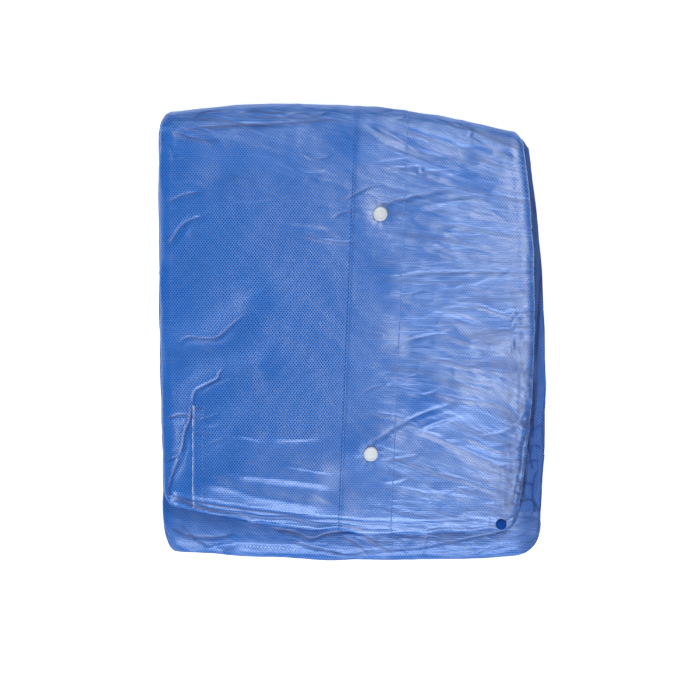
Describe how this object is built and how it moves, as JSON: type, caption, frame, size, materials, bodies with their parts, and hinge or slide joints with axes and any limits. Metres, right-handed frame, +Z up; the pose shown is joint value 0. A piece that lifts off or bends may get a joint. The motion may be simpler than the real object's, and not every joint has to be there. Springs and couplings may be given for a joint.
{
  "type": "folded disposable lab coat",
  "caption": "Blue nonwoven lab coat folded into a flat rectangular stack, with its snap placket and hip pocket edge on top.",
  "frame": {"origin": "on the surface that the coat lies on, under the middle of its bounding box", "axes": "+Z up; +Y along the placket, from the fold at the near end to the fold at the far end; +X from the pocket's side to the side that the placket closes over"},
  "size_m": [0.3307, 0.3888, 0.0354],
  "materials": {
    "blue_cloth": "point-bonded nonwoven, faint sheen",
    "white_snap": "moulded, satin",
    "blue_snap": "moulded, satin"
  },
  "bodies": {
    "root": {"folded_layers": "blue_cloth", "front_left": "blue_cloth", "front_right": "blue_cloth", "placket": "blue_cloth", "pocket_welt": "blue_cloth", "skirt_fold": "blue_cloth", "snap_upper": "white_snap", "snap_lower": "white_snap", "snap_hem": "blue_snap"}
  },
  "joints": []
}
